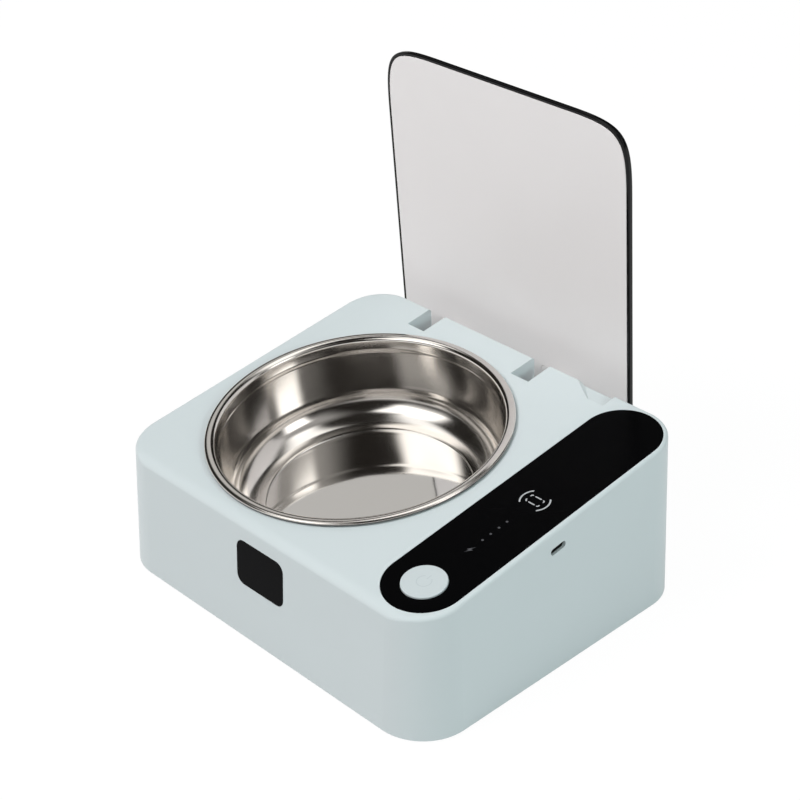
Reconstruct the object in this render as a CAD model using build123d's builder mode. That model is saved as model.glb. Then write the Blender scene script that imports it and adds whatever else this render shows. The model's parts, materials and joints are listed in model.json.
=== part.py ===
# A pet bowl with a motor-driven lid. A steel bowl hangs in a sloping plastic body, a
# sensor looks out of the front, and a control panel runs along the right side.
# Millimetres. X runs along the front face to the right, Y to the back and Z up. The
# origin is on the floor, under the middle of the body. The lid stands open.
from build123d import *
import os
from math import atan2, cos, pi, radians, sin, sqrt, tan

# Body: its walls, and its margins round the bowl, the panel and the hinge
wall_draft = 2.5
wall = 2.5
front_height = 67.0
deck_tilt = 8.0
corner_radius = 27.0
edge_radius = 2.0
front_roll_radius = 8.0
front_roll_inset = 8.5
front_roll_end = 165.0
top_face_slope = 75.0
sole_height = 1.5
base_thickness = 2.0
fit_gap = 0.2
bowl_left = 13.0
bowl_front = 10.55
bowl_to_panel = 9.5
panel_right = 6.0
panel_front = 7.74
panel_back = 7.14
hinge_back = 13.5

# Steel bowl and the well under it
rim_radius = 80.0
rim_bead = 1.0
rim_gap = 0.3
rim_flange = 5.4
neck_turn = 2.2
bowl_depth = 45.4
bowl_sheet = 0.9
bowl_corner = 17.0
shoulder_depth = 6.0
shoulder_step = 1.0
shoulder_inset = 0.5
wall_slope = 1.1
hole_clearance = 1.0
well_gap = 2.0
well_wall = 2.0
well_corner = 9.0
skirt_depth = 8.0
skirt_wall = 2.0
collar_overlap = 4.0

# Hinge, its arms and the notches they pass through
hinge_depth = 22.4
arm_spacing = 77.0
arm_shift = 1.5
notch_width = 12.4
notch_reach = 8.7
notch_clearance = 1.3
pocket_wall = 2.0
pocket_gap = 1.178
arm_side_gap = 0.8
hub_radius = 6.2
shaft_radius = 2.5
arm_tail = 6.0
arm_head = 2.5
arm_foot_length = 15.0
arm_foot_width = 30.0
arm_foot_radius = 3.0
arm_foot_gap = 0.2
arm_screw_spacing = 20.0
arm_screw_radius = 1.1
arm_screw_length = 4.0
arm_head_radius = 2.1
arm_head_depth = 0.9
arm_head_taper = 45.0

# Lid: a black shell with a rim, and the pale liner set into it
lid_gap = 3.5
lid_lean = 5.0
lid_side = 3.8
lid_tail = 12.0
lid_corner = 35.5
lid_corner_pull = 0.874
lid_tail_radius = 14.0
lid_rim = 1.6
lid_thickness = 3.0
lid_panel_inset = 6.0
lid_panel_height = 2.0
lid_panel_slope = 4.0
liner_thickness = 1.4
liner_gap = 0.1
liner_edge = 0.6
lid_edge = 0.8

# Lid drive
gear_module = 1.25
lid_gear_teeth = 28
pinion_teeth = 14
pressure_angle = 20.0
addendum = 1.0
dedendum = 1.4
tooth_backlash = 0.24
flank_steps = 5
teeth_above = 8
teeth_below = 1
arm_to_gear = 29.0
gear_width = 6.0
gear_hub_radius = 6.5
gear_hub_extra = 1.0
gear_to_hanger = 8.0
hanger_thickness = 4.0
hanger_half = 7.5
pinion_width = 7.0
output_radius = 3.0
output_depth = 8.0
gearbox_gap = 1.0
gearbox_length = 24.0
gearbox_depth = 24.0
gearbox_drop = 26.0
gearbox_rise = 10.5
gearbox_ear_shift = 15.5
gearbox_ear_reach = 17.0
ear_thickness = 3.0
ear_screw_bite = 4.5
gearbox_cover_thickness = 2.0
gearbox_cover_radius = 2.0
motor_radius = 12.0
motor_length = 28.0
motor_offset = 13.0
motor_boss_radius = 5.0
motor_flat = 2.0
motor_cap = 2.0
tab_width = 3.0

# Bushes, pins and clips
bush_radius = 4.0
bush_flange_radius = 5.5
bush_flange = 1.0
shaft_flat = 2.0
clip_gap = 0.3
clip_thickness = 0.8
clip_seat_radius = 2.0
clip_radius = 4.2
clip_opening = 0.6
pin_end = 1.2

# Small fits: a running shaft, a seated bush, a screw in its hole and parts held by a flange
shaft_gap = 0.05
bush_gap = 0.05
screw_gap = 0.05
flange_gap = 0.3

# Control panel and its button
panel_width = 41.5
panel_thickness = 2.0
tray_floor = 2.5
tray_lip = 1.2
button_from_end = 20.2
button_radius = 11.2
button_height = 0.8
button_gap = 0.35
button_flange = 1.55
button_clearance = 0.75
button_edge = 0.5
flange_thickness = 1.0
stem_radius = 2.5
switch_size = 6.0
switch_height = 3.6
switch_floor = 1.0
plunger_radius = 1.7
plunger_length = 2.6
plunger_top_gap = 1.0

# Lights behind the panel, measured from the button
light_side = 0.65
low_icon_reach = 29.2
light_reach = 46.1
high_icon_reach = 74.4
light_pitch = 5.6
light_guide_width = 12.0
light_guide_end = 5.4
light_slot_width = 8.0
light_plate = 1.2
light_pipe_radius = 1.8
led_size = 2.0
led_height = 1.0

# Control board
board_side_gap = 0.45
board_length = 106.0
board_to_button = 10.0
board_thickness = 1.6
post_side = 3.3
post_end = 5.0
post_radius = 2.6
small_screw_radius = 1.0
small_screw_bite = 5.0
small_head = 1.2
small_head_radius = 2.0
chip_size = 10.0
chip_spacing = 44.0
chip_height = 1.6
capacitor_radius = 3.0
capacitor_height = 8.0
buzzer_radius = 6.0
buzzer_height = 5.0
buzzer_hole = 1.2

# Charging socket, measured on the right face
usb_y = -4.8
usb_slot_length = 10.4
usb_slot_height = 3.6
usb_width = 8.94
usb_height = 3.2
usb_length = 8.4
usb_depth = 10.5
usb_setback = 1.2
usb_shell = 0.3
usb_tongue_width = 6.4
usb_tongue_thickness = 0.7
usb_tongue_length = 6.4

# Sensor window, measured on the front face, and the board behind it
sensor_x = 1.0
sensor_z = 44.2
sensor_width = 34.0
sensor_height = 25.2
sensor_radius = 5.0
lens_thickness = 1.5
sensor_ledge = 2.0
sensor_board_depth = 7.0
sensor_board_width = 46.0
sensor_board_height = 18.0
sensor_post_spacing = 40.0
sensor_screw_bite = 3.4
emitter_spacing = 13.0
emitter_radius = 2.5
emitter_length = 4.2
emitter_dome = 1.6

# Dip at the back edge beside the panel, and the crease between the arms
scoop_from_panel = 2.1
scoop_width = 29.2
scoop_back = 3.0
scoop_depth = 3.5
scoop_left_flank = 6.4
scoop_right_flank = 3.6
scoop_length = 11.8
scoop_tip_width = 10.4
scoop_tip_depth = 0.9
scoop_tip_flank = 0.8
scoop_floor = 1.8
crease_back = 9.3
crease_angle = 1.5

# Sole, screws and the casing's bosses
sole_side = 40.0
sole_end = 31.0
sole_radius = 12.0
sole_seat = 0.6
sole_edge = 0.5
sole_hole_radius = 4.0
boss_radius = 4.0
boss_side = 16.0
boss_end = 17.0
front_boss_gap = 10.5
front_boss_end = 13.0
middle_boss_gap = 5.5
middle_boss_reach = 34.5
screw_radius = 1.4
screw_head = 1.0
screw_head_radius = 2.8
screw_socket = 1.3
screw_bite = 9.0

# Battery
cell_radius = 9.2
cell_length = 65.0
cell_between = 0.4
cell_side_gap = 0.4
cell_end_gap = 0.5
holder_height = 12.0
holder_wall = 1.5
holder_to_wall = 2.0
holder_front = 25.5

os.makedirs("parts", exist_ok=True)

# Radii that follow from the bowl's rim, and the distance from the bowl to the hinge
tilt = radians(deck_tilt)
bowl_wall_radius = rim_radius - rim_flange
shoulder_radius = bowl_wall_radius - shoulder_inset
bowl_floor_radius = shoulder_radius - wall_slope - bowl_corner
hole_radius = bowl_wall_radius + bowl_sheet + hole_clearance
skirt_radius = hole_radius + skirt_wall
collar_radius = skirt_radius + fit_gap
collar_outer = collar_radius + well_wall
collar_low = skirt_depth + fit_gap + well_wall
pocket_width = notch_width + 2 * pocket_wall
arm_width = notch_width - 2 * arm_side_gap
pocket_corner = arm_spacing / 2 - arm_shift - pocket_width / 2
collar_reach = sqrt(collar_outer**2 - pocket_corner**2) * cos(tilt) + collar_low * sin(tilt)
bowl_to_hinge = collar_reach + pocket_gap + pocket_wall + notch_reach

# The body's width and depth, and the places of the bowl, hinge and panel on it
body_width = bowl_left + 2 * rim_radius + bowl_to_panel + panel_width + panel_right
body_depth = bowl_front + rim_radius + bowl_to_hinge + hinge_back
body_left = -body_width / 2
body_right = body_width / 2
body_front = -body_depth / 2
body_back = body_depth / 2
sole_width = body_width - 2 * sole_side
sole_depth = body_depth - 2 * sole_end
bowl_x = body_left + bowl_left + rim_radius
bowl_v = (body_front + bowl_front + rim_radius) / cos(tilt)
hinge_y = body_back - hinge_back
notch_front = hinge_y - notch_reach
hinge_x = bowl_x - arm_shift
arm_places = (hinge_x - arm_spacing / 2, hinge_x + arm_spacing / 2)
gear_x = arm_places[1] + arm_to_gear
hanger_x = gear_x + gear_to_hanger
panel_x = body_right - panel_right - panel_width / 2
panel_v = (panel_front - panel_back) / 2
panel_length = body_depth / cos(tilt) - panel_front - panel_back
button_v = panel_v - panel_length / 2 + button_from_end
light_x = panel_x + light_side
light_v = button_v + light_reach
icon_low_v = button_v + low_icon_reach
icon_high_v = button_v + high_icon_reach
light_guide_v = (icon_low_v + icon_high_v) / 2
light_guide_length = icon_high_v - icon_low_v + 2 * light_guide_end
far = 2 * body_depth

# The deck: its plane, and planes and heights measured from it
deck_normal = (0, -sin(tilt), cos(tilt))


def deck_height(y):
    return sole_height + front_height + (y - body_front) * tan(tilt)


deck = Plane(origin=(0, 0, deck_height(0)), x_dir=(1, 0, 0), z_dir=deck_normal)


def deck_plane(x, v, h):
    """A plane parallel to the deck, at x, v along the slope and h above it."""
    return Plane(origin=deck.from_local_coords((x, v, h)), x_dir=(1, 0, 0), z_dir=deck_normal)


def wall_inset(z):
    """How far a wall has leaned inwards at height z."""
    return (z - sole_height) * tan(radians(wall_draft))


# The soft roll along the front edge of the deck
roll_y = body_front + front_roll_inset
roll_axis_y = roll_y + front_roll_radius * sin(tilt)
roll_axis_z = deck_height(roll_y) - front_roll_radius * cos(tilt)
roll_first = pi / 2 + tilt
roll_last = radians(front_roll_end)


def roll_point(angle, depth):
    reach = front_roll_radius - depth
    return (roll_axis_y + reach * cos(angle), roll_axis_z + reach * sin(angle))


def space_above(depth):
    """Everything higher than a surface that lies depth below the deck and its roll."""
    back = (far, deck_height(far) - depth / cos(tilt))
    last = roll_point(roll_last, depth)
    with BuildPart() as space:
        with BuildSketch(Plane.YZ):
            with BuildLine():
                Line(back, roll_point(roll_first, depth))
                ThreePointArc(
                    roll_point(roll_first, depth),
                    roll_point((roll_first + roll_last) / 2, depth),
                    last,
                )
                Polyline(last, (-far, last[1]), (-far, far), (far, far), back)
            make_face()
        extrude(amount=far, both=True)
    return space.part


# The hinge axis and the open lid's frame: x along the hinge, y to the lid's free edge
lean = radians(lid_lean)
hinge_z = deck_height(hinge_y) - hinge_depth / cos(tilt)
lid_distance = hinge_depth + lid_gap
notch_floor = hinge_z - hub_radius - notch_clearance
hinge_axis_plane = Plane(origin=(0, hinge_y, hinge_z), x_dir=(0, 1, 0), z_dir=(1, 0, 0))


def lid_plane(x, reach, depth):
    """A plane parallel to the open lid, reach towards its free edge, depth behind the axis."""
    y = hinge_y + depth * cos(lean) - reach * sin(lean)
    z = hinge_z + depth * sin(lean) + reach * cos(lean)
    return Plane(origin=(x, y, z), x_dir=(1, 0, 0), z_dir=(0, -cos(lean), -sin(lean)))


def across_hinge(x):
    return hinge_axis_plane.offset(x)


# The bowl's section plane: x outwards, y along the bowl's axis
bowl_section = Plane(
    origin=deck.from_local_coords((bowl_x, bowl_v, 0)),
    x_dir=(1, 0, 0),
    z_dir=(0, -cos(tilt), -sin(tilt)),
)
bowl_axis = Axis(bowl_section.origin, deck_normal)

# The lid gear's mate on the drive, and the frame of the gearbox
gear_distance = gear_module * (lid_gear_teeth + pinion_teeth) / 2
pinion_y = hinge_y - gear_distance
drive_place = deck.to_local_coords(Vector(0, pinion_y, hinge_z))
drive_v = drive_place.Y
drive_h = drive_place.Z
gearbox_x = gear_x + pinion_width / 2 + gearbox_gap
gearbox_ear_x = gearbox_x + gearbox_ear_shift
gearbox_top = drive_h + gearbox_rise

# The board under the panel, and the charging socket at its edge
board_top = -usb_depth - usb_height / 2
usb_place = deck_plane(0, usb_y / cos(tilt), -usb_depth).origin
usb_wall_x = body_right - wall_inset(usb_place.Z)
usb_plane = Plane(
    origin=(usb_wall_x, usb_place.Y, usb_place.Z), x_dir=(0, cos(tilt), sin(tilt)), z_dir=(1, 0, 0)
)
board_width = panel_width - 2 * board_side_gap
board_v = button_v - board_to_button + board_length / 2
post_spacing_x = board_width - 2 * post_side
post_spacing_v = board_length - 2 * post_end
plunger_top = board_top + switch_height + plunger_top_gap

# The sensor's plane on the front face, looking outwards
front_lean = radians(wall_draft)
window_z = sole_height + sensor_z
window_plane = Plane(
    origin=(sensor_x, body_front + wall_inset(window_z), window_z),
    x_dir=(1, 0, 0),
    z_dir=(0, -cos(front_lean), sin(front_lean)),
)


# Battery and screw places, set from the walls, the panel and the bowl
cell_pitch = 2 * cell_radius + cell_between
holder_width = cell_pitch + 2 * (cell_radius + holder_wall + cell_side_gap)
holder_length = cell_length + 2 * (holder_wall + cell_end_gap)
battery_x = body_right - wall - holder_to_wall - holder_width / 2
battery_y = body_front + holder_front + holder_length / 2
panel_left = panel_x - panel_width / 2
middle_boss = (panel_left - middle_boss_gap, bowl_section.origin.Y - middle_boss_reach)
casing_boss_places = (
    (body_left + boss_side, body_front + boss_side),
    (panel_left - front_boss_gap, body_front + front_boss_end),
    middle_boss,
    (body_right - boss_end, body_back - boss_end),
    (body_left + boss_side, body_back - boss_end),
)


def draughted_block(inset, base):
    """The body's outline, inset by a wall, from base upwards with the walls' lean."""
    grow = wall_inset(base)
    width = body_width - 2 * (inset + grow)
    depth = body_depth - 2 * (inset + grow)
    with BuildPart() as block:
        with BuildSketch(Plane.XY.offset(base)):
            RectangleRounded(width, depth, corner_radius - inset - grow)
        extrude(amount=body_depth / 2, taper=wall_draft)
    return block.part


def cross_plane(y):
    """A plane across the deck at y, with its second axis along the deck's normal."""
    origin = deck_plane(0, y / cos(tilt), 0).origin
    return Plane(origin=origin, x_dir=(1, 0, 0), z_dir=bowl_section.z_dir)


def scoop_block(grow):
    """The dip at the back edge, with a slanting left flank and a floor that rises forwards."""
    right = panel_left - scoop_from_panel + grow
    back_left = right - scoop_width - 2 * grow
    back_low = -scoop_depth - grow
    tip_left = right - scoop_tip_width - 2 * grow
    tip_low = -scoop_tip_depth - grow
    back_y = body_back - scoop_back
    tip_y = back_y - scoop_length - grow
    with BuildPart() as dip:
        with BuildSketch(cross_plane(back_y)):
            with BuildLine():
                Polyline(
                    (back_left, scoop_depth),
                    (back_left, 0),
                    (back_left + scoop_left_flank, back_low),
                    (right - scoop_right_flank, back_low),
                    (right, 0),
                    (right, scoop_depth),
                    close=True,
                )
            make_face()
        with BuildSketch(cross_plane(tip_y)):
            with BuildLine():
                Polyline(
                    (tip_left, scoop_depth),
                    (tip_left, 0),
                    (tip_left + scoop_tip_flank, tip_low),
                    (right - scoop_tip_flank, tip_low),
                    (right, 0),
                    (right, scoop_depth),
                    close=True,
                )
            make_face()
        loft(ruled=True)
    return dip.part


# Upper casing: the hollow is built first, less everything that stands inside it
with BuildPart() as hollow:
    add(draughted_block(wall, sole_height))
    add(space_above(wall), mode=Mode.SUBTRACT)
    for x in arm_places:
        with BuildSketch(Plane.XY.offset(notch_floor - pocket_wall)):
            with Locations((x, notch_front - pocket_wall + far / 2)):
                Rectangle(pocket_width, far)
        extrude(amount=far, mode=Mode.SUBTRACT)
    with BuildSketch(deck_plane(panel_x, panel_v, -panel_thickness - tray_floor)):
        SlotOverall(panel_length + 2 * tray_lip, panel_width + 2 * tray_lip, rotation=90)
    extrude(amount=far, mode=Mode.SUBTRACT)
    with BuildSketch(deck_plane(bowl_x, bowl_v, -skirt_depth)):
        Circle(skirt_radius)
    extrude(amount=far, mode=Mode.SUBTRACT)
    with BuildSketch(Plane.XY.offset(sole_height + base_thickness)):
        with Locations(*casing_boss_places):
            Circle(boss_radius)
    extrude(amount=far, mode=Mode.SUBTRACT)
    with BuildSketch(Plane.XY.offset(hinge_z - hanger_half)):
        with Locations((hanger_x, hinge_y - hanger_half + far / 2)):
            Rectangle(hanger_thickness, far)
    extrude(amount=far, mode=Mode.SUBTRACT)
    with BuildSketch(deck_plane(gearbox_ear_x, drive_v, gearbox_top)):
        with GridLocations(0, 2 * gearbox_ear_reach, 1, 2):
            Circle(boss_radius)
    extrude(amount=far, mode=Mode.SUBTRACT)
    with BuildSketch(deck_plane(panel_x, board_v, board_top)):
        with GridLocations(post_spacing_x, post_spacing_v, 2, 2):
            Circle(post_radius)
    extrude(amount=far, mode=Mode.SUBTRACT)
    with BuildSketch(window_plane.offset(-sensor_board_depth)):
        with GridLocations(sensor_post_spacing, 0, 2, 1):
            Circle(post_radius)
    extrude(amount=sensor_board_depth, mode=Mode.SUBTRACT)
    add(scoop_block(scoop_floor), mode=Mode.SUBTRACT)

with BuildPart() as upper_casing:
    add(draughted_block(0, sole_height))
    add(space_above(0), mode=Mode.SUBTRACT)
    shell_faces = upper_casing.faces()
    top_faces = shell_faces.filter_by(lambda face: face.normal_at().Z > cos(radians(top_face_slope)))
    smooth = (set(top_faces[0].edges()) & set(top_faces[1].edges())) if len(top_faces) > 1 else set()
    rim_edges = [edge for face in top_faces for edge in face.edges()]
    rim_edges = [edge for edge in rim_edges if edge not in smooth]
    fillet(rim_edges, edge_radius)
    add(hollow.part, mode=Mode.SUBTRACT)
    # Bowl hole
    with BuildSketch(deck_plane(bowl_x, bowl_v, 0)):
        Circle(hole_radius)
    extrude(amount=2 * skirt_depth, both=True, mode=Mode.SUBTRACT)
    # Panel tray, with openings for the button and the lights
    with BuildSketch(deck_plane(panel_x, panel_v, -panel_thickness)):
        SlotOverall(panel_length + 2 * fit_gap, panel_width + 2 * fit_gap, rotation=90)
    extrude(amount=far, mode=Mode.SUBTRACT)
    with BuildSketch(deck_plane(panel_x, button_v, -panel_thickness - 2 * tray_floor)):
        Circle(button_radius + button_flange + button_clearance)
    extrude(amount=far, mode=Mode.SUBTRACT)
    with BuildSketch(deck_plane(light_x, light_guide_v, -panel_thickness - light_plate)):
        Rectangle(light_guide_width + 2 * fit_gap, light_guide_length + 2 * fit_gap)
    extrude(amount=far, mode=Mode.SUBTRACT)
    with BuildSketch(deck_plane(light_x, light_guide_v, -panel_thickness - 2 * tray_floor)):
        Rectangle(light_slot_width, light_guide_length - 2 * tray_lip)
    extrude(amount=far, mode=Mode.SUBTRACT)
    # Notches for the lid's arms, open at the back, and the holes for the bushes
    for x in arm_places:
        with BuildSketch(Plane.XY.offset(notch_floor)):
            with Locations((x, notch_front + far / 2)):
                Rectangle(notch_width, far)
        extrude(amount=far, mode=Mode.SUBTRACT)
        with BuildSketch(across_hinge(x)):
            Circle(bush_radius + bush_gap)
        extrude(amount=(pocket_width + pocket_wall) / 2, both=True, mode=Mode.SUBTRACT)
    with BuildSketch(across_hinge(hanger_x)):
        Circle(bush_radius + bush_gap)
    extrude(amount=hanger_thickness, both=True, mode=Mode.SUBTRACT)
    # Sensor window with its ledge, and the charging slot
    window_width = sensor_width + 2 * fit_gap
    window_height = sensor_height + 2 * fit_gap
    with BuildSketch(window_plane.offset(-lens_thickness)):
        RectangleRounded(window_width, window_height, sensor_radius + fit_gap)
    extrude(amount=wall, mode=Mode.SUBTRACT)
    with BuildSketch(window_plane.offset(-2 * wall)):
        RectangleRounded(
            sensor_width - 2 * sensor_ledge, sensor_height - 2 * sensor_ledge, sensor_radius - sensor_ledge
        )
    extrude(amount=4 * wall, mode=Mode.SUBTRACT)
    with BuildSketch(usb_plane.offset(-2 * wall)):
        SlotOverall(usb_slot_length, usb_slot_height)
    extrude(amount=4 * wall, mode=Mode.SUBTRACT)
    add(scoop_block(0), mode=Mode.SUBTRACT)
    # The deck falls away a little behind a crease between the arms
    crease_y = body_back - crease_back
    fall = far * tan(tilt - radians(crease_angle))
    with BuildSketch(Plane.YZ.offset(hinge_x)):
        with BuildLine():
            Polyline(
                (crease_y, deck_height(crease_y)),
                (crease_y + far, deck_height(crease_y) + fall),
                (crease_y + far, far),
                (crease_y, far),
                close=True,
            )
        make_face()
    extrude(amount=arm_spacing / 2, both=True, mode=Mode.SUBTRACT)
    # Pilot holes
    with BuildSketch(Plane.XY.offset(sole_height)):
        with Locations(*casing_boss_places):
            Circle(screw_radius + screw_gap)
    extrude(amount=base_thickness + screw_bite + screw_gap, mode=Mode.SUBTRACT)
    with BuildSketch(deck_plane(gearbox_ear_x, drive_v, gearbox_top)):
        with GridLocations(0, 2 * gearbox_ear_reach, 1, 2):
            Circle(screw_radius + screw_gap)
    extrude(amount=ear_screw_bite + screw_gap, mode=Mode.SUBTRACT)
    with BuildSketch(deck_plane(panel_x, board_v, board_top)):
        with GridLocations(post_spacing_x, post_spacing_v, 2, 2):
            Circle(small_screw_radius + screw_gap)
    extrude(amount=small_screw_bite + screw_gap, mode=Mode.SUBTRACT)
    with BuildSketch(window_plane.offset(-sensor_board_depth)):
        with GridLocations(sensor_post_spacing, 0, 2, 1):
            Circle(small_screw_radius + screw_gap)
    extrude(amount=sensor_screw_bite + screw_gap, mode=Mode.SUBTRACT)
upper_casing.part.label = "upper_casing"
export_step(upper_casing.part, "parts/upper_casing.step")

# Base cover, its screws and the non-slip sole
cover_inset = wall + wall_inset(sole_height + base_thickness) + fit_gap / 2
with BuildPart() as base_cover:
    with BuildSketch(Plane.XY.offset(sole_height)):
        RectangleRounded(
            body_width - 2 * cover_inset, body_depth - 2 * cover_inset, corner_radius - cover_inset
        )
    extrude(amount=base_thickness)
    with BuildSketch(Plane.XY.offset(sole_height)):
        RectangleRounded(sole_width + 2 * fit_gap, sole_depth + 2 * fit_gap, sole_radius + fit_gap)
    extrude(amount=sole_seat, mode=Mode.SUBTRACT)
    with BuildSketch(Plane.XY.offset(sole_height)):
        with Locations(*casing_boss_places):
            Circle(screw_head_radius + fit_gap)
    extrude(amount=screw_head, mode=Mode.SUBTRACT)
    with BuildSketch(Plane.XY.offset(sole_height)):
        with Locations(*casing_boss_places):
            Circle(screw_radius + fit_gap)
    extrude(amount=base_thickness, mode=Mode.SUBTRACT)
base_cover.part.label = "base_cover"
export_step(base_cover.part, "parts/base_cover.step")

with BuildPart() as casing_screws:
    with BuildSketch(Plane.XY.offset(sole_height)):
        with Locations(*casing_boss_places):
            Circle(screw_head_radius)
    extrude(amount=screw_head)
    with BuildSketch(Plane.XY.offset(sole_height)):
        with Locations(*casing_boss_places):
            Circle(screw_radius)
    extrude(amount=base_thickness + screw_bite)
    with BuildSketch(Plane.XY.offset(sole_height)):
        with Locations(*casing_boss_places):
            RegularPolygon(screw_socket, 6)
    extrude(amount=screw_head / 2, mode=Mode.SUBTRACT)
casing_screws.part.label = "casing_screws"
export_step(casing_screws.part, "parts/casing_screws.step")

with BuildPart() as rubber_sole:
    with BuildSketch(Plane.XY):
        RectangleRounded(sole_width, sole_depth, sole_radius)
        with Locations(middle_boss):
            Circle(sole_hole_radius, mode=Mode.SUBTRACT)
    extrude(amount=sole_height + sole_seat)
    sole_face = rubber_sole.faces().filter_by(Axis.Z).sort_by(Axis.Z)[0]
    fillet(sole_face.edges(), sole_edge)
rubber_sole.part.label = "rubber_sole"
export_step(rubber_sole.part, "parts/rubber_sole.step")

# Well: a cup whose collar slips round the casing's skirt
well_outer = hole_radius + well_wall
well_floor = -(bowl_depth + bowl_sheet + well_gap)
well_low = well_floor - well_wall
collar_top = collar_overlap - skirt_depth
step_top = -skirt_depth - fit_gap
turn = cos(pi / 4)
with BuildPart() as bowl_well:
    with BuildSketch(bowl_section):
        with BuildLine():
            outer_corner = well_corner + well_wall
            Line((0, well_low), (well_outer - outer_corner, well_low))
            ThreePointArc(
                (well_outer - outer_corner, well_low),
                (well_outer - outer_corner * (1 - turn), well_low + outer_corner * (1 - turn)),
                (well_outer, well_low + outer_corner),
            )
            Polyline(
                (well_outer, well_low + outer_corner),
                (well_outer, step_top - well_wall),
                (collar_outer, step_top - well_wall),
                (collar_outer, collar_top),
                (collar_radius, collar_top),
                (collar_radius, step_top),
                (hole_radius, step_top),
                (hole_radius, well_floor + well_corner),
            )
            ThreePointArc(
                (hole_radius, well_floor + well_corner),
                (hole_radius - well_corner * (1 - turn), well_floor + well_corner * (1 - turn)),
                (hole_radius - well_corner, well_floor),
            )
            Polyline((hole_radius - well_corner, well_floor), (0, well_floor), (0, well_low))
        make_face()
    revolve(axis=bowl_axis)
bowl_well.part.label = "bowl_well"
export_step(bowl_well.part, "parts/bowl_well.step")

# Steel bowl: one pressed sheet with a rolled rim
bead_x = rim_radius - rim_bead
bead_h = rim_bead + rim_gap
rim_top = bead_h + rim_bead
neck_top = rim_top - neck_turn
neck_low = shoulder_step - shoulder_depth
neck_x = bowl_wall_radius + neck_turn
wall_low = bowl_corner - bowl_depth
wall_x = bowl_floor_radius + bowl_corner
outside = bowl_sheet / 2
with BuildPart() as steel_bowl:
    with BuildSketch(bowl_section):
        with BuildLine():
            Line((0, -bowl_depth), (bowl_floor_radius, -bowl_depth))
            ThreePointArc(
                (bowl_floor_radius, -bowl_depth),
                (bowl_floor_radius + bowl_corner * turn, wall_low - bowl_corner * turn),
                (wall_x, wall_low),
            )
            Polyline(
                (wall_x, wall_low),
                (shoulder_radius, -shoulder_depth),
                (bowl_wall_radius, neck_low),
                (bowl_wall_radius, neck_top),
            )
            ThreePointArc(
                (bowl_wall_radius, neck_top),
                (neck_x - neck_turn * turn, neck_top + neck_turn * turn),
                (neck_x, rim_top),
            )
            Polyline(
                (neck_x, rim_top),
                (bead_x, rim_top),
                (bead_x, rim_top - bowl_sheet),
                (neck_x, rim_top - bowl_sheet),
            )
            inner_turn = neck_turn - bowl_sheet
            ThreePointArc(
                (neck_x, rim_top - bowl_sheet),
                (neck_x - inner_turn * turn, neck_top + inner_turn * turn),
                (bowl_wall_radius + bowl_sheet, neck_top),
            )
            Polyline(
                (bowl_wall_radius + bowl_sheet, neck_top),
                (bowl_wall_radius + bowl_sheet, neck_low - outside),
                (shoulder_radius + bowl_sheet, -shoulder_depth - outside),
                (wall_x + bowl_sheet, wall_low),
            )
            outer_turn = bowl_corner + bowl_sheet
            ThreePointArc(
                (wall_x + bowl_sheet, wall_low),
                (bowl_floor_radius + outer_turn * turn, wall_low - outer_turn * turn),
                (bowl_floor_radius, wall_low - outer_turn),
            )
            sheet_low = wall_low - outer_turn
            Polyline((bowl_floor_radius, sheet_low), (0, sheet_low), (0, -bowl_depth))
        make_face()
        with Locations((bead_x, bead_h)):
            Circle(rim_bead)
    revolve(axis=bowl_axis)
steel_bowl.part.label = "steel_bowl"
export_step(steel_bowl.part, "parts/steel_bowl.step")

# Control panel
with BuildPart() as control_panel:
    with BuildSketch(deck_plane(panel_x, panel_v, -panel_thickness)):
        SlotOverall(panel_length, panel_width, rotation=90)
    extrude(amount=panel_thickness)
    with BuildSketch(deck_plane(panel_x, button_v, -panel_thickness)):
        Circle(button_radius + button_gap)
    extrude(amount=panel_thickness, mode=Mode.SUBTRACT)
control_panel.part.label = "control_panel"
export_step(control_panel.part, "parts/control_panel.step")

# Power button: cap, flange that the panel holds down, and stem
flange_top = -panel_thickness - flange_gap
with BuildPart() as power_button:
    with BuildSketch(deck_plane(panel_x, button_v, flange_top - flange_thickness)):
        Circle(button_radius + button_flange)
    extrude(amount=flange_thickness)
    with BuildSketch(deck_plane(panel_x, button_v, flange_top - flange_thickness)):
        Circle(button_radius)
    extrude(amount=flange_thickness - flange_top + button_height)
    with BuildSketch(deck_plane(panel_x, button_v, plunger_top)):
        Circle(stem_radius)
    extrude(amount=flange_top - plunger_top)
    cap_face = power_button.faces().sort_by(Axis(bowl_section.origin, deck_normal))[-1]
    fillet(cap_face.edges(), button_edge)
power_button.part.label = "power_button"
export_step(power_button.part, "parts/power_button.step")

with BuildPart() as switch_plunger:
    with BuildSketch(deck_plane(panel_x, button_v, plunger_top - plunger_length)):
        Circle(plunger_radius)
    extrude(amount=plunger_length)
switch_plunger.part.label = "switch_plunger"
export_step(switch_plunger.part, "parts/switch_plunger.step")

with BuildPart() as button_switch:
    with BuildSketch(deck_plane(panel_x, button_v, board_top)):
        RectangleRounded(switch_size, switch_size, fit_gap)
    extrude(amount=switch_height)
    with BuildSketch(deck_plane(panel_x, button_v, board_top + switch_floor)):
        Circle(plunger_radius + bush_gap)
    extrude(amount=switch_height, mode=Mode.SUBTRACT)
button_switch.part.label = "button_switch"
export_step(button_switch.part, "parts/button_switch.step")

# Control board and what it carries
with BuildPart() as control_board:
    with BuildSketch(deck_plane(panel_x, board_v, board_top - board_thickness)):
        Rectangle(board_width, board_length)
        with GridLocations(post_spacing_x, post_spacing_v, 2, 2):
            Circle(small_screw_radius + fit_gap, mode=Mode.SUBTRACT)
    extrude(amount=board_thickness)
control_board.part.label = "control_board"
export_step(control_board.part, "parts/control_board.step")

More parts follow.
